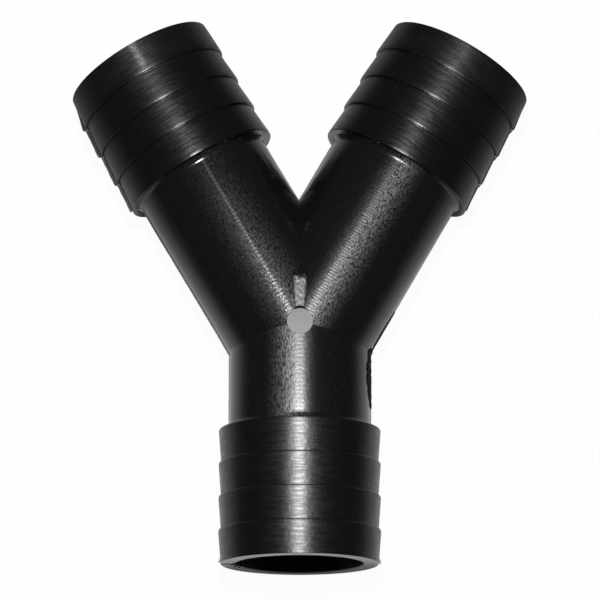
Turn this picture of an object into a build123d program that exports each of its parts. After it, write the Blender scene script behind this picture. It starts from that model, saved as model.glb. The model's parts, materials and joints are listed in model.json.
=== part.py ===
"""A moulded Y connector for 38 mm hose: one stem tail and two branch tails, all barbed.

The origin is the point where the three bores meet. The stem runs to -Y, the two branches
spread to each side of +Y, and Z is square to the plane that holds the three axes.
Sizes are in millimetres and degrees.
"""

import os
from math import cos, radians, sin, sqrt

from build123d import *

# The hose sets the tail's diameter, and the two walls set the bore and the necks from it
tail_diameter = 39.5
tail_wall = 4.35
neck_wall = 1.9

# The three arms
branch_angle = 30.0
stem_neck_length = 23.7
branch_neck_length = 48.1

# The barbs
barb_count = 4
barb_pitch = 8.2
barb_depth = 0.5
barb_land = 0.8
cove_radius = 2.0
cove_angle = 50.0
mouth_chamfer = 0.1
bore_chamfer = 0.25

# The round pin pad on the junction, and the short web that fills the crease above it
pad_diameter = 6.35
pad_recess = 0.1
web_width = 2.7
web_length = 12.8
web_flat_length = 7.7

# The parting line of the mould, a thin fin that runs round the middle plane
parting_width = 0.3
parting_height = 0.4

# What was left of the gate on the stem's neck, after it was trimmed
gate_start = 3.8
gate_length = 15.8
gate_width = 9.4
gate_height = 0.35

# The nick in the stem's mouth where the parting line meets the bore
nick_width = 1.4
nick_depth = 0.9

crest_radius = tail_diameter / 2
root_radius = crest_radius - barb_depth
bore_radius = crest_radius - tail_wall
neck_radius = bore_radius + neck_wall
tail_length = barb_count * barb_pitch

# Each arm: the turn of its axis from +X about Z, and how far its neck reaches
stem = (-90.0, stem_neck_length)
left_branch = (90.0 + branch_angle, branch_neck_length)
right_branch = (90.0 - branch_angle, branch_neck_length)
arms = (stem, left_branch, right_branch)


def arm_plane(turn):
    """The middle plane, with its X axis along the arm."""
    return Plane(origin=(0, 0, 0), x_dir=(cos(radians(turn)), sin(radians(turn)), 0), z_dir=(0, 0, 1))


def mouth_plane(turn, neck_length):
    """The plane of an arm's mouth, facing outwards."""
    along = arm_plane(turn)
    mouth = neck_length + tail_length
    return Plane(origin=along.from_local_coords(Vector(mouth, 0, 0)), x_dir=(0, 0, 1), z_dir=along.x_dir)


def tail_corners(neck_length):
    """The corners of the barbs in half an arm's section, as (distance from the junction, radius)."""
    corners = []
    for barb in range(barb_count):
        shoulder = neck_length + barb * barb_pitch
        corners.append((shoulder, crest_radius))
        corners.append((shoulder + barb_land, crest_radius))
        corners.append((shoulder + barb_pitch, root_radius))
    mouth = corners.pop()[0]
    corners.append((mouth - mouth_chamfer, root_radius))
    corners.append((mouth, root_radius - mouth_chamfer))
    return corners


def parting_corners(neck_length):
    """The section with the parting ridge on it, which is trimmed flush on the lands that seal."""
    ridge = [(0, neck_radius + parting_height), (neck_length, neck_radius + parting_height)]
    for along, radius in tail_corners(neck_length):
        ridge.append((along, min(radius + parting_height, crest_radius)))
    return ridge


with BuildPart() as y_connector:
    # The outside of each arm is turned about its own axis
    for turn, neck_length in arms:
        cove_start = neck_length - cove_radius * sin(radians(cove_angle))
        with BuildSketch(arm_plane(turn)):
            with BuildLine():
                neck = Line((0, neck_radius), (cove_start, neck_radius))
                cove = CenterArc(
                    (cove_start, neck_radius + cove_radius), cove_radius, start_angle=-90, arc_size=cove_angle
                )
                tail = Polyline(cove @ 1, *tail_corners(neck_length))
                Polyline(tail @ 1, (neck_length + tail_length, 0), (0, 0), neck @ 0)
            make_face()
        revolve(axis=Axis((0, 0, 0), arm_plane(turn).x_dir))

    # The parting line is a thin plate that stands a little proud of the outline
    for turn, neck_length in arms:
        upper = parting_corners(neck_length)
        lower = [(along, -radius) for along, radius in reversed(upper)]
        with BuildSketch(arm_plane(turn)):
            with BuildLine():
                Polyline(*upper, *lower, close=True)
            make_face()
        extrude(amount=parting_width / 2, both=True)

    # The web fills the crease between the branches, and its top falls away to meet it
    web_top = neck_radius - pad_recess
    crease_end = sqrt(neck_radius**2 - (web_length * sin(radians(branch_angle))) ** 2)
    with BuildSketch(Plane.YZ):
        with BuildLine():
            flat = Line((0, web_top), (web_flat_length, web_top))
            fall = TangentArc(flat @ 1, (web_length, crease_end), tangent=flat % 1)
            Polyline(fall @ 1, (web_length, crease_end - neck_wall / 2), (0, web_top - neck_wall / 2), flat @ 0)
        make_face()
    extrude(amount=web_width / 2, both=True)

    # The pad is faced flat just below the crest lines of the three necks
    with BuildSketch(Plane.XY.offset(neck_radius + pad_recess)):
        Circle(pad_diameter / 2)
    extrude(amount=-2 * pad_recess, mode=Mode.SUBTRACT)
    with BuildSketch(Plane.XY.offset(neck_radius - pad_recess)):
        Circle(pad_diameter / 2)
    extrude(amount=-neck_wall / 2)

    # The trimmed gate left a low lens of skin on the right side of the stem's neck
    gate_middle = -(gate_start + gate_length / 2)
    with BuildPart(mode=Mode.PRIVATE) as gate:
        with BuildSketch(Plane.YZ.offset(neck_radius - neck_wall / 2)):
            with Locations((gate_middle, 0)):
                Ellipse(gate_length / 2, gate_width / 2)
        extrude(amount=neck_wall / 2 + gate_height)
        with BuildSketch(Plane.XZ.offset(gate_start)):
            Circle(neck_radius + gate_height)
        extrude(amount=gate_length, mode=Mode.INTERSECT)
    add(gate.part)

    # The three bores run through to the junction
    for turn, neck_length in arms:
        with BuildSketch(mouth_plane(turn, neck_length)):
            Circle(bore_radius)
        extrude(amount=-(neck_length + tail_length), mode=Mode.SUBTRACT)
    bore_edges = []
    for turn, neck_length in arms:
        at_mouth = y_connector.edges().filter_by(GeomType.CIRCLE).filter_by(
            lambda edge: abs(edge.radius - bore_radius) < 0.01
        )
        mouth_centre = mouth_plane(turn, neck_length).origin
        bore_edges += at_mouth.sort_by_distance(mouth_centre)[:1]
    chamfer(bore_edges, bore_chamfer)

    # The nick is a small wedge out of the stem's mouth
    with BuildSketch(Plane.XZ.offset(stem_neck_length + tail_length)):
        with Locations((-bore_radius, 0)):
            RegularPolygon(nick_width / 2, 3, rotation=180)
    extrude(amount=-nick_depth, mode=Mode.SUBTRACT)

y_connector.part.label = "y_connector"

os.makedirs("parts", exist_ok=True)
export_step(y_connector.part, "parts/y_connector.step")
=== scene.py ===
"""A moulded Y connector for 38 mm hose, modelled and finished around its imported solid.

Three turned arms meet in one hollow body. The sidebar panel holds the sizes and colours, and
one button for each piece of the work. Sizes are in metres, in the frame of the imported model:
the origin is where the bores meet, the stem runs to -Y and +Z is the side with the pin pad.
"""

import json
import math
from collections import namedtuple

import bmesh
import bpy
from mathutils import Matrix, Vector, noise


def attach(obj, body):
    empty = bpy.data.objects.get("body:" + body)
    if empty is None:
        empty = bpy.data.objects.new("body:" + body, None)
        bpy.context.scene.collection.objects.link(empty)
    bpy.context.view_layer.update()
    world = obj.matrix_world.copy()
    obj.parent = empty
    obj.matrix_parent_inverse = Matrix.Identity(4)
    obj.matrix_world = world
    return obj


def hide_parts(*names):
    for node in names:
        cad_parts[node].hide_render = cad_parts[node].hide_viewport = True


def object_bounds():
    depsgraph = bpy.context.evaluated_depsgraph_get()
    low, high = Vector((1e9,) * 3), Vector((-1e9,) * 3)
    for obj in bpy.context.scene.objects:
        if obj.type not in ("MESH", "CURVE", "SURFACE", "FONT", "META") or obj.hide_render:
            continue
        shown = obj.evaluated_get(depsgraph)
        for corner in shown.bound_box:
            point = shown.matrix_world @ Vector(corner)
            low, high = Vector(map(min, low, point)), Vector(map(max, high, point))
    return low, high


bl_info = {
    "name": "Hose Y connector",
    "version": (1, 0, 0),
    "blender": (4, 5, 0),
    "location": "3D View > Sidebar > Y connector",
    "description": "Models a moulded Y connector with barbed tails and gives it its finish",
    "category": "Object",
}

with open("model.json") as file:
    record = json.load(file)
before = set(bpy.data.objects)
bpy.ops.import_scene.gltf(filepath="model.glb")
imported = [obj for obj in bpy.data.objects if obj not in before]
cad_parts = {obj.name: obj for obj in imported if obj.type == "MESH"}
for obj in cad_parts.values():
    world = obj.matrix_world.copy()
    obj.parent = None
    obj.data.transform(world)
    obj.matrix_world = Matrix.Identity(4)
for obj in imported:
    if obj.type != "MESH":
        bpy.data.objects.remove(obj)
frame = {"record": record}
CAD_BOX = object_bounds()
MM = 0.001
NODE = "y_connector"
RIDES_ON = "root"
MOUNTS = {mount["name"]: mount for mount in frame["record"]["mounts"]}
BORE_RADIUS = MOUNTS["stem_bore"]["dims"]["r_mm"] * MM
CREST_RADIUS = MOUNTS["stem_tail"]["dims"]["r_mm"] * MM
STEM_REACH = -CAD_BOX[0].y
BRANCH_AXIS = Vector(MOUNTS["right_bore"]["axis"])
BRANCH_ANGLE = math.atan2(BRANCH_AXIS.x, BRANCH_AXIS.y)
SEGMENTS = 160
# The tolerances for telling a vertex, an edge or a face by its place
TINY = 1e-6
NEAR = 0.01 * MM
MERGE_WITHIN = 0.001 * MM


def length(name, description, default):
    """A size in metres that the panel shows."""
    return bpy.props.FloatProperty(
        name=name, description=description, default=default, unit="LENGTH", precision=5
    )


def rotation(name, description, default):
    """An angle in radians that the panel shows in degrees."""
    return bpy.props.FloatProperty(name=name, description=description, default=default, unit="ROTATION")


def shade(name, description, default):
    """A colour that the panel shows."""
    return bpy.props.FloatVectorProperty(
        name=name, description=description, default=default, subtype="COLOR"
    )


class ConnectorSizes(bpy.types.PropertyGroup):
    """The sizes of the connector."""

    bore_radius: length("Bore radius", "Radius of the three bores", BORE_RADIUS)
    neck_radius: length("Neck radius", "Radius of the three plain necks", 17.3 * MM)
    crest_radius: length("Crest radius", "Radius over the crests of the barbs", CREST_RADIUS)
    barb_depth: length("Barb depth", "How far each barb tapers in", 0.58 * MM)
    barb_pitch: length("Barb pitch", "From one barb to the next", 8.2 * MM)
    barb_land: length("Barb land", "Straight part of each barb's crest", 0.8 * MM)
    barb_count: bpy.props.IntProperty(name="Barbs", description="Barbs on each tail", default=4, min=1)
    stem_reach: length("Stem reach", "From the junction to the stem's mouth", STEM_REACH)
    branch_reach: length("Branch reach", "From the junction to a branch's mouth", 80.9 * MM)
    branch_angle: rotation("Branch angle", "Each branch from the +Y line", BRANCH_ANGLE)
    neck_sink: length("Neck sink", "How far a neck sinks in just before the tail", 0.035 * MM)
    cove_radius: length("Cove radius", "Round at the foot of a tail", 2.0 * MM)
    cove_angle: rotation("Cove angle", "How far that round turns", math.radians(50))
    stem_crest_round: length("Stem crest round", "Round on the edges of the stem's barbs", 0.28 * MM)
    branch_crest_round: length("Branch crest round", "Round on the edges of the branches' barbs", 0.17 * MM)
    mouth_chamfer: length("Mouth chamfer", "Bevel round each mouth", 0.1 * MM)
    left_lean: length("Left lean", "How far the left tail was moulded out of line", 0.33 * MM)


class MarkSizes(bpy.types.PropertyGroup):
    """The sizes of the marks that moulding left on the connector."""

    pad_radius: length("Pad radius", "Round pin pad on the junction", 3.175 * MM)
    pad_recess: length("Pad recess", "Pad below the crest lines of the necks", 0.1 * MM)
    pad_gap: length("Pad gap", "Gap between the pad and the web", 0.6 * MM)
    pad_gap_round: length("Pad gap round", "Radius of that gap's outer side", 1.7 * MM)
    web_rise: length("Web rise", "Web above the crest lines of the necks", 0.03 * MM)
    web_width: length("Web width", "Web in the crease above the pad", 2.7 * MM)
    web_length: length("Web length", "From the junction to the web's ragged end", 13.8 * MM)
    web_flat: length("Web flat", "Part of the web that is flat on top", 10.8 * MM)
    flash_width: length("Flash width", "Thickness of the flash along the parting line", 0.3 * MM)
    gate_start: length("Gate start", "From the junction to the trimmed gate", 2.4 * MM)
    gate_end: length("Gate end", "From the junction to the trimmed gate's far end", 18.6 * MM)
    gate_span: length("Gate span", "Width of the trimmed gate round the neck", 12.0 * MM)
    gate_height: length("Gate height", "Height of the trimmed gate's torn skin", 0.42 * MM)
    tear_start: length("Tear start", "From the junction to the tear on the right branch", 3.8 * MM)
    tear_end: length("Tear end", "From the junction to the tear's far end", 17.5 * MM)
    tear_span: length("Tear span", "Width of the tear round the branch", 5.5 * MM)
    tear_height: length("Tear height", "Height of the tear's skin", 0.1 * MM)
    nick_depth: length("Nick depth", "Depth of the nick in the stem's mouth", 0.9 * MM)


class FinishColours(bpy.types.PropertyGroup):
    """The colours of the plastic and of the stage."""

    plastic: shade("Plastic", "Black of the moulded plastic", (0.004, 0.004, 0.0042))
    # Pale grey for dust, for scuff marks, and for the painted sheen and highlight on the necks and last barbs
    scuffed_and_sheen: shade("Scuffed", "Plastic where it is scuffed or dusty", (0.22, 0.22, 0.22))
    # The torn finish that uses this black also darkens the gap beside the pad as painted shade
    torn: shade("Torn", "Plastic where the gate was torn off", (0.004, 0.004, 0.004))
    floor: shade("Floor", "The pale floor", (0.95, 0.95, 0.95))


def sizes():
    return bpy.context.scene.connector_sizes


def marks():
    return bpy.context.scene.connector_marks


def colours():
    return bpy.context.scene.connector_colours


def arms():
    """Each arm as (name, direction, reach from the junction to its mouth)."""
    s = sizes()
    lean, rise = math.sin(s.branch_angle), math.cos(s.branch_angle)
    return (
        ("stem", Vector((0, -1, 0)), s.stem_reach),
        ("left", Vector((-lean, rise, 0)), s.branch_reach),
        ("right", Vector((lean, rise, 0)), s.branch_reach),
    )


def tail_length():
    return sizes().barb_count * sizes().barb_pitch


def arm_matrix(direction):
    """Turns a piece made along +Z to lie along an arm, with its +X side up."""
    up = Vector((0, 0, 1))
    return Matrix((up, direction.cross(up), direction)).transposed().to_4x4()


def rough(spot, size):
    """A value from 0 to 1 that wanders over a length."""
    return 0.5 + 0.5 * noise.noise(Vector(spot) / size)


def waves(spot, height, size):
    """A value that wanders each way from 0, by up to half the height."""
    return height * (rough(spot, size) - 0.5)


def ramp(value, start, end):
    """0 before the start, 1 past the end, and straight between them."""
    return min(1.0, max(0.0, (value - start) / (end - start)))


# Modelling steps that the pieces share


def deselect():
    bpy.ops.object.select_all(action="DESELECT")


def activate(piece):
    deselect()
    piece.select_set(True)
    bpy.context.view_layer.objects.active = piece


def place(piece, matrix):
    """Puts a piece made at the origin where it belongs, with its place in its mesh."""
    activate(piece)
    piece.matrix_world = matrix
    bpy.ops.object.transform_apply(location=True, rotation=True, scale=True)


def select_where(piece, kind, test):
    """In edit mode, selects the vertices, edges or faces for which the test is true."""
    bpy.ops.mesh.select_mode(type=kind)
    bpy.ops.mesh.select_all(action="DESELECT")
    mesh = bmesh.from_edit_mesh(piece.data)
    parts = {"VERT": mesh.verts, "EDGE": mesh.edges, "FACE": mesh.faces}[kind]
    for part in parts:
        if test(part):
            part.select = True
    mesh.select_flush_mode()
    bmesh.update_edit_mesh(piece.data)


def close_up(piece):
    """Merges doubles, points the faces outwards and leaves edit mode."""
    bpy.ops.mesh.select_all(action="SELECT")
    bpy.ops.mesh.remove_doubles(threshold=MERGE_WITHIN)
    bpy.ops.mesh.normals_make_consistent(inside=False)
    bpy.ops.object.mode_set(mode="OBJECT")
    return piece


def turned(name, profile):
    """A closed piece turned about +Z through (height, radius) points, by extruding a ring."""
    deselect()
    height, radius = profile[0]
    bpy.ops.mesh.primitive_circle_add(
        vertices=SEGMENTS, radius=radius, fill_type="NGON", location=(0, 0, height)
    )
    piece = bpy.context.object
    piece.name = name
    bpy.ops.object.transform_apply(location=True, rotation=True, scale=True)
    bpy.ops.object.mode_set(mode="EDIT")
    bpy.ops.mesh.select_mode(type="FACE")
    bpy.ops.mesh.select_all(action="SELECT")
    for next_height, next_radius in profile[1:]:
        bpy.ops.mesh.extrude_region_move(TRANSFORM_OT_translate={"value": (0, 0, next_height - height)})
        share = next_radius / radius
        bpy.ops.transform.resize(value=(share, share, 1), center_override=(0, 0, next_height))
        height, radius = next_height, next_radius
    return close_up(piece)


def drawn_sheet(columns, rows, spot_of, thickness):
    """A closed piece from a flat grid, whose points are moved into place before it is extruded."""
    deselect()
    bpy.ops.mesh.primitive_grid_add(x_subdivisions=columns, y_subdivisions=rows, size=1)
    piece = bpy.context.object
    bpy.ops.object.mode_set(mode="EDIT")
    mesh = bmesh.from_edit_mesh(piece.data)
    for vert in mesh.verts:
        vert.co = spot_of(vert.co.x, vert.co.y)
    bmesh.update_edit_mesh(piece.data)
    bpy.ops.mesh.select_all(action="SELECT")
    bpy.ops.mesh.extrude_region_move(TRANSFORM_OT_translate={"value": thickness})
    return close_up(piece)


def combine(piece, tool, operation):
    """Joins, or cuts, one closed piece with another, and drops the tool."""
    activate(piece)
    bpy.ops.object.modifier_add(type="BOOLEAN")
    step = piece.modifiers[-1]
    step.operation = operation
    step.solver = "EXACT"
    step.object = tool
    bpy.ops.object.modifier_apply(modifier=step.name)
    deselect()
    tool.select_set(True)
    bpy.ops.object.delete()
    activate(piece)


# The outline of an arm

NECK_RING_STEP = 1.6 * MM
BORE_RING_STEP = 4 * MM
COVE_STEPS = 6
# Where the rings of a barb's taper lie, as shares of its length
TAPER_RINGS = (0.33, 0.67, 1.0)
# How far an arm reaches past the junction, so that the three join up
ARM_OVERLAP = 0.02 * MM
# The share of its sink that a neck has half a ring before the cove
SINK_EASES = 0.4


def ring_heights(start, end, step):
    """Heights of the rings along a straight run, evenly spaced."""
    count = max(2, round((end - start) / step))
    return [start + (end - start) * i / count for i in range(count + 1)]


def neck_outline(cove_start):
    """The outline of a neck, which sinks in a little before the tail."""
    s = sizes()
    heights = ring_heights(-ARM_OVERLAP, cove_start - NECK_RING_STEP, NECK_RING_STEP)
    outline = [(height, s.neck_radius) for height in heights]
    outline.append((cove_start - NECK_RING_STEP / 2, s.neck_radius - s.neck_sink * SINK_EASES))
    outline.append((cove_start, s.neck_radius - s.neck_sink))
    return outline


def cove_outline(cove_start):
    """The outline of the round at the foot of a tail."""
    s = sizes()
    outline = []
    for step in range(1, COVE_STEPS + 1):
        turn = s.cove_angle * step / COVE_STEPS
        rise = s.cove_radius * (1 - math.cos(turn))
        outline.append((cove_start + s.cove_radius * math.sin(turn), s.neck_radius - s.neck_sink + rise))
    return outline


def arm_profile(reach):
    """The outline of an arm as (distance from the junction, radius), from the junction out."""
    s = sizes()
    shoulder = reach - tail_length()
    cove_start = shoulder - s.cove_radius * math.sin(s.cove_angle)
    profile = neck_outline(cove_start) + cove_outline(cove_start)
    for barb in range(s.barb_count):
        start = shoulder + barb * s.barb_pitch
        profile.append((start, s.crest_radius))
        profile.append((start + s.barb_land, s.crest_radius))
        for share in TAPER_RINGS:
            along = start + s.barb_land + (s.barb_pitch - s.barb_land) * share
            profile.append((along, s.crest_radius - s.barb_depth * share))
    root = profile.pop()[1]
    profile.append((reach - s.mouth_chamfer, root))
    profile.append((reach, root - s.mouth_chamfer))
    return profile


def outline_radius(profile, along):
    """The radius of an outline at a distance from the junction."""
    for (start, first), (end, last) in zip(profile, profile[1:]):
        if start <= along <= end and end > start:
            return first + (last - first) * (along - start) / (end - start)
    return profile[-1][1]


def round_crests(piece, reach, offset):
    """Rounds the edge of every barb's shoulder, while the arm still stands along +Z."""
    s = sizes()
    shoulders = [reach - tail_length() + barb * s.barb_pitch for barb in range(s.barb_count)]

    def at_crest(edge):
        first, second = (vert.co for vert in edge.verts)
        level = abs(first.z - second.z) < TINY
        outside = math.hypot(first.x, first.y) > s.crest_radius - NEAR
        return level and outside and any(abs(first.z - shoulder) < TINY for shoulder in shoulders)

    activate(piece)
    bpy.ops.object.mode_set(mode="EDIT")
    select_where(piece, "EDGE", at_crest)
    bpy.ops.mesh.bevel(offset=offset, segments=4, affect="EDGES", clamp_overlap=True)
    bpy.ops.object.mode_set(mode="OBJECT")


# How far the flash stands off the neck and the tail in mm, on an arm's -Y side and on its +Y side
FLASH = {
    "stem": ((0.25, 0.0), (0.2, 0.0)),
    "left": ((0.32, 0.7), (0.0, 0.0)),
    "right": ((0.35, 0.0), (0.0, 0.3)),
}
FLASH_STEP = 0.4 * MM
FLASH_START = 0.3 * MM
FLASH_SHORT_OF_MOUTH = 0.05 * MM
# The long and the short waves of its edge: their share, how they are squeezed, and their size
FLASH_WAVES = ((0.6, 1.0, 3.1 * MM), (0.4, 1.7, 1.3 * MM))
# Its least height, as a share of the height above, and what the waves add
FLASH_LEAST = 0.7
FLASH_WANDERS = 0.6
# How deep the flash starts in the body when it has no height
FLASH_BURIED = 0.04 * MM
# Half the length over which the flash changes from the neck's height to the tail's
FLASH_CHANGE = 0.4 * MM
# Where the flash on a tail dies away, and where it fills the stem's last corner, from the mouth
FLASH_FADES = (8 * MM, 2 * MM)
CORNER_FILLS = (1.6 * MM, 0.6 * MM)
# Where the left branch leans out: it starts over these distances from the junction, and
# comes back over these from its mouth
LEAN_STARTS = (14 * MM, 40 * MM)
LEAN_ENDS = (9 * MM, 1 * MM)


def near_mouth(along, reach, span):
    """0 before a span that is given by its distances from the mouth, 1 past it."""
    return ramp(along, reach - span[0], reach - span[1])


def flash_reach(name, side, profile, along, reach):
    """How far the flash reaches from the axis on one side: it wanders, and fills the stem's corner."""
    neck, tail = FLASH[name][side > 0]
    spot = Vector((along, reach * side, 0))
    wander = sum(share * rough(spot * squeeze, size) for share, squeeze, size in FLASH_WAVES)
    shoulder = reach - tail_length()
    off_neck = ramp(along, shoulder - FLASH_CHANGE, shoulder + FLASH_CHANGE)
    on_tail = off_neck * (1 - near_mouth(along, reach, FLASH_FADES))
    height = (neck * (1 - off_neck) + tail * on_tail) * (FLASH_LEAST + FLASH_WANDERS * wander) * MM
    if name == "stem":
        height = max(height, sizes().barb_depth * near_mouth(along, reach, CORNER_FILLS))
    return outline_radius(profile, along) - FLASH_BURIED + height


def lean_out(arm, reach):
    """Moves the left branch a little outwards, where it cooled out of line."""
    activate(arm)
    bpy.ops.object.mode_set(mode="EDIT")
    mesh = bmesh.from_edit_mesh(arm.data)
    for vert in mesh.verts:
        share = ramp(vert.co.z, *LEAN_STARTS) * (1 - near_mouth(vert.co.z, reach, LEAN_ENDS))
        vert.co.y -= sizes().left_lean * share
    bmesh.update_edit_mesh(arm.data)
    bpy.ops.object.mode_set(mode="OBJECT")


def flash_plate(name, profile, reach):
    """The plate of flash through an arm standing along +Z: a grid drawn out to its ragged edges."""
    width = marks().flash_width
    end = reach - sizes().mouth_chamfer - FLASH_SHORT_OF_MOUTH

    def flash_spot(across, along):
        side = 1 if across > 0 else -1
        height = FLASH_START + (end - FLASH_START) * (along + 0.5)
        return -width / 2, side * flash_reach(name, side, profile, height, reach), height

    return drawn_sheet(1, round(reach / FLASH_STEP), flash_spot, (width, 0, 0))


class CONNECTOR_OT_body(bpy.types.Operator):
    """Turn the three arms, add their flash and join them"""

    bl_idname = "connector.body"
    bl_label = "Moulded body"

    def execute(self, context):
        s = sizes()
        body = None
        for name, direction, reach in arms():
            profile = arm_profile(reach)
            arm = turned(name, profile)
            round_crests(arm, reach, s.stem_crest_round if name == "stem" else s.branch_crest_round)
            combine(arm, flash_plate(name, profile, reach), "UNION")
            if name == "left":
                lean_out(arm, reach)
            place(arm, arm_matrix(direction))
            if body is None:
                body = arm
            else:
                combine(body, arm, "UNION")
        body.name = "moulded_body"
        body.data.name = "moulded_body"
        return {"FINISHED"}


def moulded_body():
    piece = bpy.data.objects.get("moulded_body")
    if piece is None:
        raise RuntimeError("make the moulded body first")
    return piece


WEB_THICKNESS = 1.0 * MM
# How far the web's top drops at its two long edges
WEB_EDGE_DROP = 0.1 * MM
# Where the web widens, and where its top turns ragged, from the junction
WEB_WIDENS = (3 * MM, 8 * MM)
WEB_ROUGHENS = (3 * MM, 5 * MM)
# The web's width at the pad and what it gains on the way, as shares
WEB_NARROW = 0.9
WEB_GAIN = 0.35
# Its far end as a share of its length, how much of that is torn back, and the size of the tears
WEB_END = 1.04
WEB_TORN_BACK = 0.28
WEB_TEAR_SIZE = 0.5 * MM
# The height of its bumps in mm at the pad, what they gain on the way, from which share of its flat
# part they gain it, their size, and how much narrower they are than long
WEB_BUMPS = 0.05
WEB_BUMPS_GAIN = 0.25
WEB_BUMPS_GROW = 0.8
WEB_BUMP_SIZE = 0.9 * MM
WEB_BUMP_SQUEEZE = 2.5
# The points of the web's grid and of a torn skin's, across and along
WEB_GRID = (18, 72)
SKIN_GRID = (48, 72)


def web_spot(across, along):
    """Where a point of the web's top lies, from its place in a flat grid of -0.5 to 0.5 each way."""
    s, m = sizes(), marks()
    top = s.neck_radius + m.web_rise
    end = math.sqrt(s.neck_radius**2 - (m.web_length * math.sin(s.branch_angle)) ** 2)
    torn_back = WEB_END - WEB_TORN_BACK * rough((across * m.web_width, 0, 0), WEB_TEAR_SIZE)
    y = (along + 0.5) * m.web_length * (1 + (torn_back - 1) * max(0.0, along) * 2)
    x = across * m.web_width * (WEB_NARROW + WEB_GAIN * ramp(y, *WEB_WIDENS))
    fall = (top - end) * ramp(y, m.web_flat, m.web_length) ** 2
    side = WEB_EDGE_DROP * abs(2 * across) ** 6
    bumps = WEB_BUMPS + WEB_BUMPS_GAIN * ramp(y, m.web_flat * WEB_BUMPS_GROW, m.web_length)
    ragged = waves((x * WEB_BUMP_SQUEEZE, y, 0), bumps * MM, WEB_BUMP_SIZE)
    return x, y, top - fall - side + ragged * ramp(y, *WEB_ROUGHENS)


def make_web():
    """The web that fills the crease: a ragged grid, rounded at its sides, that falls away at its far end."""
    return drawn_sheet(*WEB_GRID, web_spot, (0, 0, -WEB_THICKNESS))


# The facing cutter reaches above the pad and a little below it and past it
FACING_ABOVE = 0.5 * MM
FACING_BELOW = 0.06 * MM
FACING_PAST = 0.02 * MM
GAP_DEPTH = 0.5 * MM
PAD_DEPTH = 1.3 * MM
PAD_BEVEL = 0.05 * MM


class CONNECTOR_OT_junction(bpy.types.Operator):
    """Face the round pin pad on the junction and fill the crease above it with the short web"""

    bl_idname = "connector.junction"
    bl_label = "Pad and web"

    def execute(self, context):
        s, m = sizes(), marks()
        body = moulded_body()
        combine(body, make_web(), "UNION")
        top = s.neck_radius - m.pad_recess
        wide = m.pad_radius + FACING_PAST
        facing = turned("facing", [(top - FACING_BELOW, wide), (top + FACING_ABOVE, wide)])
        combine(body, facing, "DIFFERENCE")
        gap_rings = [(top - GAP_DEPTH, m.pad_gap_round), (top + FACING_ABOVE, m.pad_gap_round)]
        gap = turned("gap", gap_rings)
        place(gap, Matrix.Translation((0, m.pad_radius + m.pad_gap - m.pad_gap_round, 0)))
        combine(body, gap, "DIFFERENCE")
        pad_rings = [(top - PAD_DEPTH, m.pad_radius), (top - PAD_BEVEL, m.pad_radius)]
        pad_rings.append((top, m.pad_radius - PAD_BEVEL))
        combine(body, turned("pad", pad_rings), "UNION")
        return {"FINISHED"}


class CONNECTOR_OT_gate(bpy.types.Operator):
    """Leave the torn skin where the gate was trimmed off the right side of the stem's neck"""

    bl_idname = "connector.gate"
    bl_label = "Trimmed gate"

    def execute(self, context):
        m = marks()
        directions = {name: direction for name, direction, _ in arms()}
        gate = torn_skin(-1, m.gate_start, m.gate_end, m.gate_span, m.gate_height)
        place(gate, arm_matrix(directions["stem"]))
        combine(moulded_body(), gate, "UNION")
        tear = torn_skin(1, m.tear_start, m.tear_end, m.tear_span, m.tear_height)
        place(tear, arm_matrix(directions["right"]))
        combine(moulded_body(), tear, "UNION")
        return {"FINISHED"}


SKIN_THICKNESS = 1.0 * MM
# How deep the skin lies inside the neck where it isn't torn
SKIN_BURIED = 0.3 * MM
# The skin's place runs from -1 to 1 each way. Where it ends along the neck, the greatest half of its
# width, the height and size of the long and the short waves of its edge, and the middle and width
# of the raised lip at its near end.
SKIN_END = 0.95
SKIN_HALF = 0.9
EDGE_LONG_WAVES = (0.3, 2.3 * MM)
EDGE_SHORT_WAVES = (0.12, 0.7 * MM)
SKIN_LIP = (-0.84, 0.09)
# The least lift of torn skin and what its bumps add, as shares, and the size of the bumps
LIFT_LEAST = 0.3
LIFT_BUMPS = 0.7
LIFT_BUMP_SIZE = 0.9 * MM


def skin_lift(across, along, spot, height):
    """How far the skin stands off the neck at a point, or how deep it lies where it isn't torn."""
    width = SKIN_HALF * math.sqrt(max(0.0, 1 - along * along)) + waves(spot, *EDGE_LONG_WAVES)
    width += waves(spot, *EDGE_SHORT_WAVES)
    if abs(across) >= width or abs(along) >= SKIN_END:
        return -SKIN_BURIED
    lip_middle, lip_width = SKIN_LIP
    lift = height * (LIFT_LEAST + LIFT_BUMPS * rough(spot, LIFT_BUMP_SIZE))
    return lift + height * math.exp(-(((along - lip_middle) / lip_width) ** 2))


def torn_skin(side, start, end, span, height):
    """A lens of torn skin on one side of a neck that stands along +Z: a grid lifted where it is torn."""
    neck_radius = sizes().neck_radius
    half_turn = math.asin(span / 2 / neck_radius)
    middle, half = (start + end) / 2, (end - start) / 2

    def skin_spot(x, y):
        across, along = x * 2, y * 2
        radius = neck_radius + skin_lift(across, along, (across * span / 2, along * half, 0), height)
        turn = half_turn * across
        return radius * math.sin(turn), side * radius * math.cos(turn), middle + half * along

    return drawn_sheet(*SKIN_GRID, skin_spot, (0, -side * SKIN_THICKNESS, 0))


BORE_LIP = 0.25 * MM
BORE_OVERLAP = 0.01 * MM
BORE_PAST_MOUTH = 0.05 * MM
# The long chip right across the wall of the stem's mouth, which is tilted a little
LONG_CHIP_RISE = 0.3 * MM
LONG_CHIP_PAST_WALL = 1 * MM
LONG_CHIP_DEEP = 0.9 * MM
LONG_CHIP_TALL = 1.5 * MM
LONG_CHIP_TURN = math.radians(1.5)
# The chips broken out of the stem's mouth: outwards from the bore, up, width and height in mm
NICKS = (
    (-0.35, 0.2, 1.1, 3.4),
    (-0.9, -0.5, 0.9, 1.6),
    (0.0, -3.2, 0.9, 2.6),
    (0.3, 2.9, 0.8, 1.6),
    (0.7, -5.6, 0.7, 1.4),
)
NICK_TURN = math.radians(14)


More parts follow.
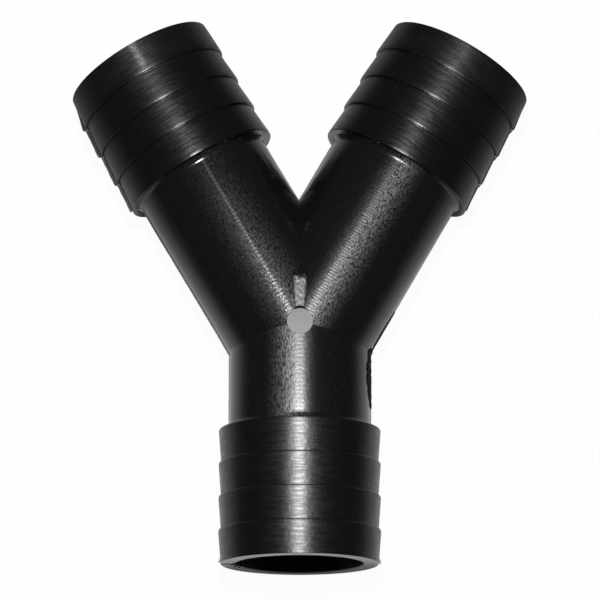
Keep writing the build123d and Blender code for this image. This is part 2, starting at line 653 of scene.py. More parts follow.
class CONNECTOR_OT_bores(bpy.types.Operator):
    """Bore the three arms through to the junction and nick the stem's mouth"""

    bl_idname = "connector.bores"
    bl_label = "Bores and mouths"

    def execute(self, context):
        s, m = sizes(), marks()
        body = moulded_body()
        for _, direction, reach in arms():
            heights = ring_heights(-BORE_OVERLAP, reach - BORE_LIP, BORE_RING_STEP)
            rings = [(height, s.bore_radius) for height in heights]
            rings.append((reach + BORE_PAST_MOUTH, s.bore_radius + BORE_LIP + BORE_PAST_MOUTH))
            cutter = turned("bore", rings)
            place(cutter, arm_matrix(direction))
            combine(body, cutter, "DIFFERENCE")
        spot = (-(s.bore_radius + s.crest_radius) / 2, -s.stem_reach, LONG_CHIP_RISE)
        width = s.crest_radius - s.bore_radius + LONG_CHIP_PAST_WALL
        chip_off(body, spot, (width, LONG_CHIP_DEEP, LONG_CHIP_TALL), LONG_CHIP_TURN)
        for offset, height, width, tall in NICKS:
            spot = (-s.bore_radius + offset * MM, -s.stem_reach, height * MM)
            chip_off(body, spot, (width * MM, m.nick_depth * 2, tall * MM), NICK_TURN)
        return {"FINISHED"}


def chip_off(body, spot, scale, turn):
    """Takes a sharp-edged chip out of the body."""
    deselect()
    bpy.ops.mesh.primitive_cube_add(size=1, location=spot, rotation=(0, turn, turn / 3))
    chip = bpy.context.object
    chip.name = "chip"
    chip.scale = scale
    bpy.ops.object.transform_apply(location=True, rotation=True, scale=True)
    combine(body, chip, "DIFFERENCE")


# The node groups that the finishes share. Their vectors are in millimetres, with Z along an arm.


def add(tree, kind, inputs=(), **settings):
    """Adds a node, sets it up, and feeds its inputs from sockets or plain values."""
    node = tree.nodes.new(kind)
    for name, value in settings.items():
        setattr(node, name, value)
    for key, value in dict(inputs).items():
        if isinstance(value, bpy.types.NodeSocket):
            tree.links.new(value, node.inputs[key])
        else:
            node.inputs[key].default_value = value
    return node


def sums(tree, operation, first, second=0.0, third=0.0):
    """The output of a Math node."""
    values = {0: first, 1: second, 2: third}
    return add(tree, "ShaderNodeMath", values, operation=operation).outputs[0]


def ranged(tree, value, low, high, to_low=0.0, to_high=1.0):
    """The output of a Map Range node, held within its range."""
    inputs = {"Value": value, "From Min": low, "From Max": high, "To Min": to_low, "To Max": to_high}
    return add(tree, "ShaderNodeMapRange", inputs, clamp=True).outputs["Result"]


def scaled(tree, vector, scale):
    """A vector with each of its parts scaled; the scale is a socket or three numbers."""
    return add(tree, "ShaderNodeVectorMath", {0: vector, 1: scale}, operation="MULTIPLY").outputs[0]


def grain(tree, vector, scale=1.0, detail=2.0, roughness=0.5):
    """The value of a Noise texture."""
    inputs = {"Vector": vector, "Scale": scale, "Detail": detail, "Roughness": roughness}
    return add(tree, "ShaderNodeTexNoise", inputs, noise_dimensions="3D").outputs["Fac"]


def relief(tree, value, depth):
    """A height that swings each way from 0, from a value between 0 and 1."""
    return sums(tree, "MULTIPLY", sums(tree, "SUBTRACT", value, 0.5), depth)


def stretched(tree, given, size_across, size_along):
    """A group's vector, scaled by two of its inputs: the pattern's size across an arm and along it."""
    across = sums(tree, "DIVIDE", 1.0, given[size_across])
    along = sums(tree, "DIVIDE", 1.0, given[size_along])
    scale = add(tree, "ShaderNodeCombineXYZ", {0: across, 1: across, 2: along}).outputs[0]
    return scaled(tree, given["Vector"], scale)


def new_group(name, inputs, outputs):
    """An empty node group with named inputs, given as (name, default), and named outputs."""
    tree = bpy.data.node_groups.new(name, "ShaderNodeTree")
    for socket_name, default in inputs:
        kind = "NodeSocketVector" if default is None else "NodeSocketFloat"
        socket = tree.interface.new_socket(name=socket_name, in_out="INPUT", socket_type=kind)
        if default is not None:
            socket.default_value = default
    for socket_name in outputs:
        tree.interface.new_socket(name=socket_name, in_out="OUTPUT", socket_type="NodeSocketFloat")
    return tree, tree.nodes.new("NodeGroupInput").outputs, tree.nodes.new("NodeGroupOutput").inputs


def angle_away(tree, vector, middle):
    """Degrees round an arm from a line along it, where 0 is the top, and the distance along the arm."""
    parts = add(tree, "ShaderNodeSeparateXYZ", {0: vector}).outputs
    angle = sums(tree, "MULTIPLY", sums(tree, "ARCTAN2", parts["Y"], parts["X"]), math.degrees(1))
    return sums(tree, "ABSOLUTE", sums(tree, "SUBTRACT", angle, middle)), parts["Z"]


def crest_line():
    """A soft-edged stripe along an arm, where two passes of the cutter met."""
    inputs = [("Vector", None), ("Middle", 0.0), ("Half Width", 3.0), ("Softness", 1.0)]
    tree, given, out = new_group("crest line", inputs, ["Mask"])
    away, _ = angle_away(tree, given["Vector"], given["Middle"])
    edge = sums(tree, "DIVIDE", sums(tree, "SUBTRACT", given["Half Width"], away), given["Softness"])
    tree.links.new(ranged(tree, edge, -1.0, 1.0), out["Mask"])
    return tree


# Where the scuff marks and their painted sheen thin out, in mm from the junction, and the share that carries
# them everywhere
SCUFFS_AND_SHEEN_THIN_OUT = (8, 42)
STRAY_COVER = 0.012


def scuffs_and_sheen_band():
    """Fine scuff marks and painted sheen in a band along an arm, broken into specks that thin out to the
    tail.
    """
    inputs = [
        ("Vector", None),
        ("Middle", 0.0),
        ("Half Width", 10.0),
        ("Near Cover", 0.7),
        ("Far Cover", 0.6),
        ("Stretch", 1.0),
        ("Depth", 0.07),
    ]
    tree, given, out = new_group("scuffed band", inputs, ["Height", "Mask"])
    away, along = angle_away(tree, given["Vector"], given["Middle"])
    inside = ranged(tree, sums(tree, "DIVIDE", away, given["Half Width"]), 0.2, 1.6, 1.0, 0.0)
    inside = sums(tree, "POWER", inside, 2.0)
    level = ranged(tree, along, *SCUFFS_AND_SHEEN_THIN_OUT, given["Near Cover"], given["Far Cover"])
    cover = sums(tree, "MULTIPLY_ADD", inside, level, STRAY_COVER)
    drawn_out = sums(tree, "DIVIDE", 1.0, given["Stretch"])
    shape = add(tree, "ShaderNodeCombineXYZ", {0: 1.0, 1: 1.0, 2: drawn_out}).outputs[0]
    fine = grain(tree, scaled(tree, given["Vector"], shape), 3.0, 3.0, 0.6)
    specks = sums(tree, "MULTIPLY", cover, ranged(tree, fine, 0.37, 0.63, 0.0, 2.0))
    mask = sums(tree, "MINIMUM", specks, 1.0)
    tree.links.new(mask, out["Mask"])
    pits = relief(tree, grain(tree, given["Vector"], 2.0, 2.0, 0.6), given["Depth"])
    tree.links.new(sums(tree, "MULTIPLY", pits, mask), out["Height"])
    return tree


def cutter_ripples():
    """The even ripples that a ball cutter left across the mould."""
    inputs = [("Vector", None), ("Pitch", 1.0), ("Depth", 0.01), ("Wobble", 0.6), ("Patchiness", 0.5)]
    tree, given, out = new_group("cutter ripples", inputs, ["Height"])
    along = add(tree, "ShaderNodeSeparateXYZ", {0: given["Vector"]}).outputs["Z"]
    wander = sums(tree, "SUBTRACT", grain(tree, given["Vector"], 0.8), 0.5)
    shifted = sums(tree, "MULTIPLY_ADD", wander, given["Wobble"], along)
    turns = sums(tree, "MULTIPLY", sums(tree, "DIVIDE", shifted, given["Pitch"]), 2 * math.pi)
    wave = sums(tree, "SINE", turns)
    patch = ranged(tree, grain(tree, given["Vector"], 0.8, 3.0), 0.35, 0.6)
    kept = sums(tree, "SUBTRACT", 1.0, sums(tree, "MULTIPLY", given["Patchiness"], patch))
    tree.links.new(sums(tree, "MULTIPLY", sums(tree, "MULTIPLY", wave, given["Depth"]), kept), out["Height"])
    return tree


def lengthwise_streaks():
    """Streaks along an arm, from rubbing the mould lengthwise."""
    inputs = [("Vector", None), ("Width", 0.5), ("Length", 5.0), ("Depth", 0.01)]
    tree, given, out = new_group("lengthwise streaks", inputs, ["Height", "Mask"])
    value = grain(tree, stretched(tree, given, "Width", "Length"), 1.0, 3.0, 0.55)
    tree.links.new(relief(tree, value, given["Depth"]), out["Height"])
    tree.links.new(ranged(tree, value, 0.4, 0.65), out["Mask"])
    return tree


def turned_lines():
    """Fine lines round an arm, from turning the mould."""
    inputs = [("Vector", None), ("Pitch", 0.6), ("Depth", 0.01), ("Length", 5.0)]
    tree, given, out = new_group("turned lines", inputs, ["Height", "Mask"])
    value = grain(tree, stretched(tree, given, "Length", "Pitch"), 1.0, 1.0, 0.5)
    tree.links.new(relief(tree, value, given["Depth"]), out["Height"])
    tree.links.new(ranged(tree, value, 0.4, 0.6), out["Mask"])
    return tree


def mottling():
    """Cloudy variation in the skin of a moulding, and fine pitting."""
    inputs = [("Vector", None), ("Size", 1.5), ("Depth", 0.004)]
    tree, given, out = new_group("mottling", inputs, ["Height", "Mask"])
    scale = sums(tree, "DIVIDE", 1.0, given["Size"])
    value = grain(tree, given["Vector"], scale, 5.0, 0.65)
    tree.links.new(relief(tree, value, given["Depth"]), out["Height"])
    tree.links.new(ranged(tree, value, 0.38, 0.62), out["Mask"])
    return tree


def dust_specks():
    """Sparse pale specks of dust."""
    inputs = [("Vector", None), ("Spacing", 4.0), ("Size", 0.12)]
    tree, given, out = new_group("dust specks", inputs, ["Mask"])
    scale = sums(tree, "DIVIDE", 1.0, given["Spacing"])
    dots = add(tree, "ShaderNodeTexVoronoi", {"Vector": given["Vector"], "Scale": scale}).outputs["Distance"]
    reach = sums(tree, "MULTIPLY", given["Size"], scale)
    tree.links.new(ranged(tree, sums(tree, "SUBTRACT", dots, reach), -0.01, 0.01, 1.0, 0.0), out["Mask"])
    return tree


def group(tree, name, inputs):
    """Places a shared node group, made at its first use."""
    makers = {
        "crest line": crest_line,
        "scuffed band": scuffs_and_sheen_band,
        "cutter ripples": cutter_ripples,
        "lengthwise streaks": lengthwise_streaks,
        "turned lines": turned_lines,
        "mottling": mottling,
        "dust specks": dust_specks,
    }
    shared = bpy.data.node_groups.get(name) or makers[name]()
    return add(tree, "ShaderNodeGroup", inputs, node_tree=shared).outputs


def start_plastic(name, direction, specular=0.8):
    """A new black plastic, as its tree, its shader and a vector in millimetres along an arm."""
    material = bpy.data.materials.new(name)
    material.use_nodes = True
    tree = material.node_tree
    shader = tree.nodes["Principled BSDF"]
    shader.inputs["IOR"].default_value = 1.5
    shader.inputs["Specular IOR Level"].default_value = specular
    where = add(tree, "ShaderNodeTexCoord").outputs["Object"]
    turn = arm_matrix(direction).inverted().to_euler()
    in_mm = {"Vector": where, "Rotation": turn, "Scale": (1000, 1000, 1000)}
    return material, tree, shader, add(tree, "ShaderNodeMapping", in_mm).outputs["Vector"]


# A Mix node's sockets for colours, whose names it also uses for numbers
MIX_A = 6
MIX_B = 7
MIX_RESULT = 2


def end_plastic(tree, shader, vector, heights, roughness, colour=None, scuffs_and_sheen=0.0):
    """Feeds a plastic's shader with its relief in millimetres, its roughness, and its pale colour for dust,
    scuff marks and painted sheen.
    """
    height = 0.0
    for part in heights:
        height = sums(tree, "ADD", part, height)
    bump = add(tree, "ShaderNodeBump", {"Height": height, "Distance": MM, "Strength": 1.0})
    tree.links.new(bump.outputs["Normal"], shader.inputs["Normal"])
    tree.links.new(roughness, shader.inputs["Roughness"])
    dust = group(tree, "dust specks", {"Vector": vector, "Spacing": 6.0, "Size": 0.1})["Mask"]
    # Dust, scuff marks and painted sheen are all mixed in as the same pale grey
    mixed = add(tree, "ShaderNodeMix", {"Factor": sums(tree, "MAXIMUM", dust, scuffs_and_sheen)}, data_type="RGBA")
    mixed.inputs[MIX_A].default_value = (*(colour or colours().plastic), 1)
    mixed.inputs[MIX_B].default_value = (*colours().scuffed_and_sheen, 1)
    tree.links.new(mixed.outputs[MIX_RESULT], shader.inputs["Base Color"])


# How each neck was cut and marked by scuffing: the ripples' pitch and depth in mm, the middle and half
# the width of the crest line and of the scuff band in degrees round the arm, how much that band covers
# near the junction and far from it, and how long its specks are. The pale colour of the scuff band is
# partly a painted sheen. The roughness is that of the skin, of the crest line and of the scuff band.
NECK_LOOKS = {
    "stem": {
        "ripple": (1.0, 0.0026),
        "line": (0.0, 1.5),
        "scuffs_and_sheen": (8.0, 14.0),
        "cover": (0.46, 0.42),
        "stretch": 3.0,
        "roughness": (0.22, 0.32, 0.43),
    },
    "left": {
        "ripple": (1.0, 0.0034),
        "line": (-1.7, 0.9),
        "scuffs_and_sheen": (0.0, 19.0),
        "cover": (0.3, 0.05),
        "stretch": 2.0,
        "roughness": (0.14, 0.28, 0.22),
    },
    "right": {
        "ripple": (0.75, 0.0045),
        "line": (2.8, 1.9),
        "scuffs_and_sheen": (9.5, 13.0),
        "cover": (0.36, 0.35),
        "stretch": 2.0,
        "roughness": (0.18, 0.3, 0.43),
    },
}
# How far to each side of the crest line the ripples are deep, in degrees, and how soft its edge is
BESIDE_LINE = 1.5
# The share of the ripples' depth that is left off the line, and of the scuff marks and their painted
# sheen that is left on it
RIPPLES_OFF_LINE = 0.2
SCUFFS_AND_SHEEN_ON_LINE = 0.35


def neck_plastic(name, direction):
    """The skin of a neck: ripples, best seen on the crest line, and scuff marks with a painted sheen to the
    sides of it.
    """
    look = NECK_LOOKS[name]
    material, tree, shader, vector = start_plastic(name + "_neck", direction)
    middle, half_width = look["line"]
    line = group(tree, "crest line", {"Vector": vector, "Middle": middle, "Half Width": half_width})["Mask"]
    wider = {"Middle": middle, "Half Width": half_width + BESIDE_LINE, "Softness": BESIDE_LINE}
    beside = group(tree, "crest line", {"Vector": vector, **wider})["Mask"]
    band = {"Middle": look["scuffs_and_sheen"][0], "Half Width": look["scuffs_and_sheen"][1], "Stretch": look["stretch"]}
    cover = {"Near Cover": look["cover"][0], "Far Cover": look["cover"][1]}
    # The scuff band's pale specks are partly real scuffing and partly a painted sheen beside the highlight
    scuffed_and_sheen = group(tree, "scuffed band", {"Vector": vector, **band, **cover})
    left_over = ranged(tree, line, 0.0, 1.0, 1.0, SCUFFS_AND_SHEEN_ON_LINE)
    scuffs_and_sheen = sums(tree, "MULTIPLY", scuffed_and_sheen["Mask"], left_over)
    pitch, depth = look["ripple"]
    deep = ranged(tree, beside, 0.0, 1.0, depth * RIPPLES_OFF_LINE, depth)
    ripples = group(tree, "cutter ripples", {"Vector": vector, "Pitch": pitch, "Depth": deep})
    rubbed = {"Width": 0.6, "Length": 4.0, "Depth": 0.008}
    streaks = group(tree, "lengthwise streaks", {"Vector": vector, **rubbed})
    cloudy = {"Size": 0.9, "Depth": ranged(tree, beside, 0, 1, 0.004, 0.02)}
    skin = group(tree, "mottling", {"Vector": vector, **cloudy})
    of_skin, of_line, of_scuffs = look["roughness"]
    smooth = ranged(tree, line, 0.0, 1.0, of_skin, of_line)
    roughness = ranged(tree, scuffs_and_sheen, 0.0, 1.0, smooth, of_scuffs)
    heights = [ripples["Height"], streaks["Height"], skin["Height"], scuffed_and_sheen["Height"]]
    end_plastic(tree, shader, vector, heights, roughness, scuffs_and_sheen=scuffs_and_sheen)
    return material


# The roughness at the two ends of an arm's tail, how much further it spreads a highlight along the
# arm, the depth of its turned lines in mm, and where the last barb carries a painted highlight in
# specks like scuffing, in degrees round the arm, and how much
TAIL_LOOKS = {
    "stem": {"roughness": (0.37, 0.37), "spread": 0.42, "depth": 0.024, "scuffs_and_sheen": (0.0, 0.0)},
    "left": {"roughness": (0.29, 0.36), "spread": 0.5, "depth": 0.035, "scuffs_and_sheen": (-4.0, 0.8)},
    "right": {"roughness": (0.3, 0.36), "spread": 0.5, "depth": 0.035, "scuffs_and_sheen": (4.0, 0.12)},
}
# Where a tail's roughness changes and where its last barb's painted highlight sets in, in mm from the
# junction
TAIL_CHANGES = (50, 80)
LAST_BARB_HIGHLIGHT = (72.5, 75.0)


def tail_plastic(name, direction):
    """The skin of a tail, with the lines of its turned mould and a painted highlight on its last barb."""
    look = TAIL_LOOKS[name]
    highlight_middle, highlight_cover = look["scuffs_and_sheen"]
    material, tree, shader, vector = start_plastic(name + "_tail", direction)
    shader.inputs["Anisotropic"].default_value = look["spread"]
    along_arm = {0: direction.x, 1: direction.y, 2: direction.z}
    tangent = add(tree, "ShaderNodeCombineXYZ", along_arm).outputs[0]
    tree.links.new(tangent, shader.inputs["Tangent"])
    lines = group(tree, "turned lines", {"Vector": vector, "Pitch": 0.6, "Depth": look["depth"]})
    skin = group(tree, "mottling", {"Vector": vector, "Size": 1.3, "Depth": 0.03})
    swells = group(tree, "mottling", {"Vector": vector, "Size": 9.0, "Depth": 0.1})
    along = add(tree, "ShaderNodeSeparateXYZ", {0: vector}).outputs["Z"]
    level = ranged(tree, along, *TAIL_CHANGES, *look["roughness"])
    roughness = sums(tree, "MULTIPLY", level, ranged(tree, lines["Mask"], 0.0, 1.0, 0.9, 1.1))
    # The last barb's pale specks are a painted highlight, in colour only
    band = {"Middle": highlight_middle, "Half Width": 3.0, "Near Cover": highlight_cover, "Far Cover": highlight_cover}
    scuffed_and_sheen = group(tree, "scuffed band", {"Vector": vector, "Stretch": 1.5, **band})
    scuffs_and_sheen = sums(tree, "MULTIPLY", scuffed_and_sheen["Mask"], ranged(tree, along, *LAST_BARB_HIGHLIGHT))
    heights = [lines["Height"], skin["Height"], swells["Height"]]
    end_plastic(tree, shader, vector, heights, roughness, scuffs_and_sheen=scuffs_and_sheen)
    return material


def plain_plastic(name, smooth, dull, effects, colour=None, specular=0.8, coat=0.0):
    """The skin of a small place, with its relief given as (group, inputs) pairs."""
    material, tree, shader, vector = start_plastic(name, Vector((0, -1, 0)), specular)
    shader.inputs["Coat Weight"].default_value = coat
    shader.inputs["Coat Roughness"].default_value = 0.15
    placed = [group(tree, kind, {"Vector": vector, **inputs}) for kind, inputs in effects]
    roughness = ranged(tree, placed[0]["Mask"], 0.0, 1.0, smooth, dull)
    end_plastic(tree, shader, vector, [outputs["Height"] for outputs in placed], roughness, colour)
    return material


# The finishes of the small places: their roughness from smooth to dull, and their relief
SMALL_LOOKS = {
    "mouth": {
        "smooth": 0.14,
        "dull": 0.24,
        "effects": [("mottling", {"Size": 1.2, "Depth": 0.006})],
        "coat": 0.7,
    },
    "bore": {
        "smooth": 0.36,
        "dull": 0.46,
        "effects": [("lengthwise streaks", {"Width": 1.2, "Length": 12.0, "Depth": 0.02})],
    },
    "pad": {
        "smooth": 0.34,
        "dull": 0.37,
        "effects": [("mottling", {"Size": 1.6, "Depth": 0.004})],
    },
    "fin": {
        "smooth": 0.36,
        "dull": 0.42,
        "effects": [("mottling", {"Size": 1.6, "Depth": 0.01})],
        "specular": 0.5,
    },
    "web": {
        "smooth": 0.3,
        "dull": 0.38,
        "effects": [
            ("mottling", {"Size": 0.9, "Depth": 0.02}),
            ("lengthwise streaks", {"Width": 0.5, "Length": 3.0, "Depth": 0.012}),
        ],
    },
}


def finishes():
    """Every finish, by name."""
    made = {}
    for name, direction, _ in arms():
        made[name + "_neck"] = neck_plastic(name, direction)
        made[name + "_tail"] = tail_plastic(name, direction)
    for name, look in SMALL_LOOKS.items():
        made[name] = plain_plastic(name, **look)
    # The torn finish also goes on the gap beside the pad, as painted shade
    torn = [("mottling", {"Size": 0.5, "Depth": 0.15})]
    made["torn_gate_and_gap_shade"] = plain_plastic("torn_gate_and_gap_shade", 0.65, 0.85, torn, colours().torn, specular=0.15)
    return made


# A face seen from one arm: how far it lies off the neck's skin, the arm's name, how far along the
# arm and how far from its axis it lies, and the arm's reach
Seen = namedtuple("Seen", ("off_neck", "name", "along", "radius", "reach"))
# Below the pad's face: how deep the pad itself reaches, and where the gap beside it starts and ends
PAD_ZONE = 0.02 * MM
GAP_STARTS = 0.06 * MM
GAP_ENDS = 0.6 * MM
# The mouth's chips: how deep they reach, and how far they stay from the bore and from the crests
CHIP_ZONE = 1.2 * MM
CHIP_OFF_BORE = 0.3 * MM
CHIP_OFF_CREST = 0.8 * MM
# How far behind the junction an arm still counts
BEHIND = 0.5 * MM
# A bore's face lies this near to the bore's radius, and at least this far off the neck's skin
BORE_SKIN = 0.05 * MM
BORE_OFF_NECK = 0.3 * MM
# The torn gate stands off the neck by more than this
GATE_LIFT = 0.04 * MM
# Half the web's greatest width, as a share of its width
WEB_HALF = 0.63
# The flash's faces look up or down at least this squarely
FLASH_LEVEL = 0.9
# Edges sharper than this stay sharp
SMOOTH_BELOW = math.radians(26)


def from_arms(centre):
    """A face as each of the three arms sees it."""
    views = []
    for name, direction, reach in arms():
        along = centre.dot(direction)
        radius = (centre - direction * along).length
        views.append(Seen(abs(radius - sizes().neck_radius), name, along, radius, reach))
    return views


def pad_finish(centre):
    """The finish of a face on the pad or in the gap beside it, or None; the gap's dull dark finish is painted
    shade.
    """
    m = marks()
    top = sizes().neck_radius - m.pad_recess
    if centre.z > top - PAD_ZONE and math.hypot(centre.x, centre.y) < m.pad_radius:
        return "pad"
    in_gap = abs(centre.x) < m.pad_gap_round and 0 < centre.y < m.pad_radius + m.pad_gap + NEAR
    # The gap's floor takes the dull dark torn finish as painted shade
    if in_gap and top - GAP_ENDS < centre.z < top - GAP_STARTS:
        return "torn_gate_and_gap_shade"
    return None


def mouth_finish(views):
    """The finish of a face on a mouth or in one of its chips, or None."""
    s = sizes()
    for seen in views:
        if abs(seen.along - seen.reach) < s.mouth_chamfer + NEAR:
            return "mouth"
        in_wall = s.bore_radius + CHIP_OFF_BORE < seen.radius < s.crest_radius - CHIP_OFF_CREST
        if seen.along > seen.reach - CHIP_ZONE and in_wall:
            return "torn_gate_and_gap_shade"
    return None


def torn_finish(centre, seen):
    """The finish of a face on the trimmed gate or on the tear, or None."""
    s, m = sizes(), marks()
    lifted = seen.radius - s.neck_radius
    if seen.name == "stem" and centre.x > 0 and lifted > GATE_LIFT and m.gate_start < seen.along < m.gate_end:
        return "torn_gate_and_gap_shade"
    outside = centre.x > math.hypot(centre.x, centre.y) / 2
    if seen.name == "right" and outside and lifted > NEAR and seen.along < m.tear_end:
        return "torn_gate_and_gap_shade"
    return None


def body_finish(centre, normal, views):
    """The finish of a face in a bore, or on the web, a neck, the flash or a tail."""
    s, m = sizes(), marks()
    nearest = min(views)
    inmost = min(seen.radius for seen in views)
    if inmost < s.bore_radius + BORE_SKIN and nearest.off_neck > BORE_OFF_NECK:
        return "bore"
    if abs(centre.x) < m.web_width * WEB_HALF and 0 < centre.y < m.web_length and centre.z > 0:
        return "web" if inmost > s.neck_radius + NEAR else nearest.name + "_neck"
    torn = torn_finish(centre, nearest)
    if torn:
        return torn
    in_plate = abs(centre.z) < m.flash_width / 2 + TINY
    if in_plate and abs(normal.z) > FLASH_LEVEL and nearest.radius > s.neck_radius:
        return "fin"
    for seen in views:
        if seen.along > seen.reach - tail_length() - TINY:
            return seen.name + "_tail"
    return nearest.name + "_neck"


def finish_of(centre, normal):
    """The name of the finish of a face, from its place."""
    views = from_arms(centre)
    ahead = [seen for seen in views if seen.along > -BEHIND]
    return pad_finish(centre) or mouth_finish(views) or body_finish(centre, normal, ahead)


class CONNECTOR_OT_finish(bpy.types.Operator):
    """Give the body its plastic finishes and its place in the frame"""

    bl_idname = "connector.finish"
    bl_label = "Finish"

    def execute(self, context):
        piece = moulded_body()
        activate(piece)
        bpy.ops.object.shade_smooth_by_angle(angle=SMOOTH_BELOW)
        made = finishes()
        piece.data.materials.clear()
        order = list(made)
        for name in order:
            piece.data.materials.append(made[name])
        for face in piece.data.polygons:
            face.material_index = order.index(finish_of(face.center, face.normal))
        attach(piece, RIDES_ON)
        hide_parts(NODE)
        return {"FINISHED"}


# The stage. The camera's place was fitted to the object's outline in the photograph.

CAMERA_AIM = Vector((0.000065, 0.009207, 0))
CAMERA_DISTANCE = 0.69744
CAMERA_ELEVATION = math.radians(76.66)
CAMERA_AZIMUTH = math.radians(-0.96)
CAMERA_LENS = 169.2
LAMP_PLACE = Vector((-0.010, 0.008, 0.5))
LAMP_SIZE = 0.055
LAMP_POWER = 2.2
WORLD_LEVEL = 0.03
FLOOR_WHITE = 0.96
FLOOR_GLOW = 0.12
FLOOR_RADIUS = 3.0
# The sheet of light that the plastic mirrors: its middle, how far it reaches before it fades, how
# much brighter it is than the floor round it, and how bright that floor is
SHEET_PLACE = Vector((0, -0.025, 0))
SHEET_REACH = Vector((0.075, 0.11))
SHEET_LIT = 0.88
SHEET_DIM = 0.12


def aimed(name, data, eye, back, up):
    """An object that looks away from its back, with an up direction."""
    right = up.cross(back).normalized()
    turned_matrix = Matrix((right, back.cross(right), back)).transposed().to_4x4()
    turned_matrix.translation = eye
    thing = bpy.data.objects.new(name, data)
    bpy.context.collection.objects.link(thing)
    thing.matrix_world = turned_matrix
    return thing


def add_camera():
    camera = bpy.data.cameras.new("camera")
    camera.lens = CAMERA_LENS
    camera.sensor_width = 36.0
    camera.clip_start = 0.01
    flat = math.cos(CAMERA_ELEVATION)
    right_of_axis = math.sin(CAMERA_AZIMUTH) * flat
    towards_stem = -math.cos(CAMERA_AZIMUTH) * flat
    back = Vector((right_of_axis, towards_stem, math.sin(CAMERA_ELEVATION)))
    eye = CAMERA_AIM + back * CAMERA_DISTANCE
    bpy.context.scene.camera = aimed("camera", camera, eye, back, Vector((0, 1, 0)))


def add_lamp():
    light = bpy.data.lights.new("overhead_lamp", "AREA")
    light.shape = "SQUARE"
    light.size = LAMP_SIZE
    light.energy = LAMP_POWER
    aimed("overhead_lamp", light, LAMP_PLACE, Vector((0, 0, 1)), Vector((0, 1, 0)))


def floor_material():
    """White to the camera with the object's shadow on it; reflections see a lit sheet that ends."""
    material = bpy.data.materials.new("pale_floor")
    material.use_nodes = True
    tree = material.node_tree
    shader = tree.nodes["Principled BSDF"]
    shader.inputs["Roughness"].default_value = 1.0
    shader.inputs["Specular IOR Level"].default_value = 0.0
    path = add(tree, "ShaderNodeLightPath").outputs
    direct = sums(tree, "MAXIMUM", path["Is Camera Ray"], path["Is Transmission Ray"])
    where = add(tree, "ShaderNodeTexCoord").outputs["Object"]
    offset = add(tree, "ShaderNodeVectorMath", {0: where, 1: SHEET_PLACE}, operation="SUBTRACT")
    squeezed = scaled(tree, offset.outputs[0], (1 / SHEET_REACH.x, 1 / SHEET_REACH.y, 0))
    reach = add(tree, "ShaderNodeVectorMath", {0: squeezed}, operation="LENGTH").outputs["Value"]
    fade = sums(tree, "EXPONENT", sums(tree, "MULTIPLY", sums(tree, "MULTIPLY", reach, reach), -1.0))
    sheet = sums(tree, "MAXIMUM", sums(tree, "MULTIPLY_ADD", fade, SHEET_LIT, SHEET_DIM), direct)
    colour = add(tree, "ShaderNodeMix", {"Factor": sheet}, data_type="RGBA")
    colour.inputs[MIX_A].default_value = (0, 0, 0, 1)
    colour.inputs[MIX_B].default_value = (*colours().floor, 1)
    tree.links.new(colour.outputs[MIX_RESULT], shader.inputs["Base Color"])
    glow = add(tree, "ShaderNodeEmission", {"Color": (1, 1, 1, 1), "Strength": sheet})
    mirrored = sums(tree, "MULTIPLY", path["Is Glossy Ray"], FLOOR_GLOW)
    share = sums(tree, "MULTIPLY_ADD", direct, FLOOR_WHITE, mirrored)
    mix = add(tree, "ShaderNodeMixShader", {0: share, 1: shader.outputs["BSDF"], 2: glow.outputs["Emission"]})
    tree.links.new(mix.outputs["Shader"], tree.nodes["Material Output"].inputs["Surface"])
    return material


def add_floor():
    deselect()
    height = -sizes().crest_radius
    bpy.ops.mesh.primitive_circle_add(
        vertices=96, radius=FLOOR_RADIUS, fill_type="NGON", location=(0, 0, height)
    )
    floor = bpy.context.object
    floor.name = "floor"
    bpy.ops.object.transform_apply(location=True, rotation=True, scale=True)
    floor.data.materials.append(floor_material())


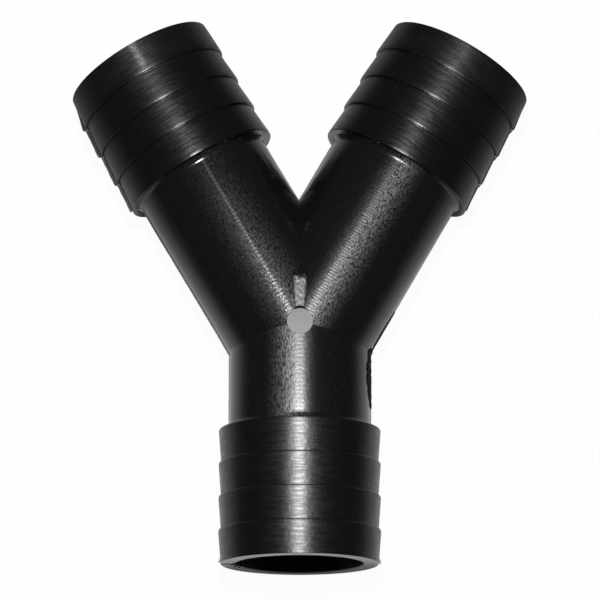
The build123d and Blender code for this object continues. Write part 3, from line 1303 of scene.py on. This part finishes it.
def add_world():
    """White to the camera, and dim to the rest, so that the plastic stays black."""
    world = bpy.data.worlds.new("studio")
    bpy.context.scene.world = world
    world.use_nodes = True
    tree = world.node_tree
    dim = tree.nodes["Background"]
    dim.inputs["Color"].default_value = (WORLD_LEVEL, WORLD_LEVEL, WORLD_LEVEL, 1)
    white = add(tree, "ShaderNodeBackground", {"Color": (1, 1, 1, 1)})
    seen = add(tree, "ShaderNodeLightPath").outputs["Is Camera Ray"]
    mix = add(tree, "ShaderNodeMixShader", {0: seen, 1: dim.outputs[0], 2: white.outputs[0]})
    tree.links.new(mix.outputs["Shader"], tree.nodes["World Output"].inputs["Surface"])


class CONNECTOR_OT_stage(bpy.types.Operator):
    """Set the pale floor, the lamp, the world and the camera"""

    bl_idname = "connector.stage"
    bl_label = "Stage"

    def execute(self, context):
        add_floor()
        add_lamp()
        add_world()
        add_camera()
        return {"FINISHED"}


class CONNECTOR_PT_panel(bpy.types.Panel):
    """Lists the sizes, the colours and the steps"""

    bl_idname = "CONNECTOR_PT_panel"
    bl_label = "Y connector"
    bl_space_type = "VIEW_3D"
    bl_region_type = "UI"
    bl_category = "Y connector"

    def draw(self, context):
        for holder in (sizes(), marks(), colours()):
            column = self.layout.column(align=True)
            for name in holder.bl_rna.properties.keys():
                if name not in ("rna_type", "name"):
                    column.prop(holder, name)
        for step in STEPS:
            self.layout.operator(step.bl_idname)


STEPS = (
    CONNECTOR_OT_body,
    CONNECTOR_OT_junction,
    CONNECTOR_OT_gate,
    CONNECTOR_OT_bores,
    CONNECTOR_OT_finish,
    CONNECTOR_OT_stage,
)
GROUPS = {
    "connector_sizes": ConnectorSizes,
    "connector_marks": MarkSizes,
    "connector_colours": FinishColours,
}
CLASSES = (*GROUPS.values(), *STEPS, CONNECTOR_PT_panel)


def register():
    for cls in CLASSES:
        bpy.utils.register_class(cls)
    for name, holder in GROUPS.items():
        setattr(bpy.types.Scene, name, bpy.props.PointerProperty(type=holder))


def unregister():
    for name in GROUPS:
        delattr(bpy.types.Scene, name)
    for cls in reversed(CLASSES):
        bpy.utils.unregister_class(cls)


def main():
    register()
    bpy.context.scene.view_settings.view_transform = "Standard"
    bpy.ops.connector.body()
    bpy.ops.connector.junction()
    bpy.ops.connector.gate()
    bpy.ops.connector.bores()
    bpy.ops.connector.finish()
    bpy.ops.connector.stage()


if __name__ == "__main__":
    main()
